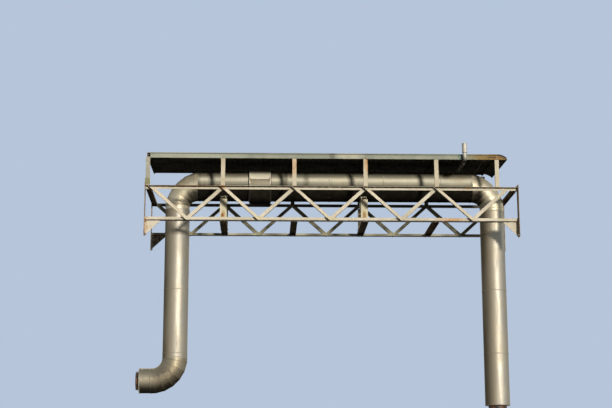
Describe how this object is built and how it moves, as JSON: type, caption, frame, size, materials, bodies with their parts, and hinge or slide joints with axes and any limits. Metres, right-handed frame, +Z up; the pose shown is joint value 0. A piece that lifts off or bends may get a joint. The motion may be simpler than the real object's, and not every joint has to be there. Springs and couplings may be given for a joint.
{
  "type": "industrial pipe bridge",
  "caption": "Pipe bridge: angle-iron lattice trusses between two walls carry a clad pipe with gored elbows under a ribbed roof, with a valve cover and a vent.",
  "frame": {"origin": "on the back face of the left front wall plate, level with the underside of the bottom chords and in the plane of the front truss's face", "axes": "+X along the bridge from the left wall to the right one, +Y from the front truss to the rear one, +Z up"},
  "size_m": [8.826, 2.2546, 6.05],
  "materials": {
    "frame_paint": "weathered cream paint with rust spots",
    "wall_plate_paint": "stained cream paint, rusty at the edges",
    "roof_metal": "dull grey ribbed sheet",
    "fascia_paint": "chalky grey-green paint, rust-yellow at the right end",
    "trestle_paint": "weathered paint, rusty feet",
    "pipe_cladding": "warm silvery sheet, satin",
    "elbow_cladding": "warm silvery gores, satin",
    "cover_cladding": "satin sheet, a little dull",
    "vent_metal": "dull galvanised steel",
    "carrier_steel": "dark primed steel"
  },
  "bodies": {
    "root": {"front_top_chord": "frame_paint", "rear_top_chord": "frame_paint", "front_bottom_chord": "frame_paint", "rear_bottom_chord": "frame_paint", "front_falling_diagonals": "frame_paint", "rear_falling_diagonals": "frame_paint", "front_rising_diagonals": "frame_paint", "rear_rising_diagonals": "frame_paint", "cross_beams": "frame_paint", "end_beams": "frame_paint", "knee_brackets": "frame_paint", "front_roof_posts": "frame_paint", "rear_roof_posts": "frame_paint", "roof_rafters": "frame_paint", "roof_purlins": "frame_paint", "left_wall_plates": "wall_plate_paint", "right_wall_plates": "wall_plate_paint", "roof_sheet": "roof_metal", "roof_end_flashing": "roof_metal", "fascia_left": "fascia_paint", "fascia_right": "fascia_paint", "trestle_legs": "trestle_paint", "trestle_bearers": "trestle_paint", "pipe_saddles": "trestle_paint", "wall_stub_jacket": "pipe_cladding", "left_riser_jacket_1": "pipe_cladding", "left_riser_jacket_2": "pipe_cladding", "left_riser_jacket_3": "pipe_cladding", "run_jacket_1": "pipe_cladding", "run_jacket_2": "pipe_cladding", "run_jacket_3": "pipe_cladding", "run_jacket_4": "pipe_cladding", "run_jacket_5": "pipe_cladding", "run_jacket_6": "pipe_cladding", "right_riser_jacket_1": "pipe_cladding", "right_riser_jacket_2": "pipe_cladding", "right_riser_jacket_3": "pipe_cladding", "right_riser_jacket_4": "pipe_cladding", "lower_elbow": "elbow_cladding", "upper_left_elbow": "elbow_cladding", "upper_right_elbow": "elbow_cladding", "valve_cover_lower": "cover_cladding", "valve_cover_upper": "cover_cladding", "vent_pipe": "vent_metal", "vent_outlet": "vent_metal", "carrier_pipe_ends": "carrier_steel"}
  },
  "joints": []
}
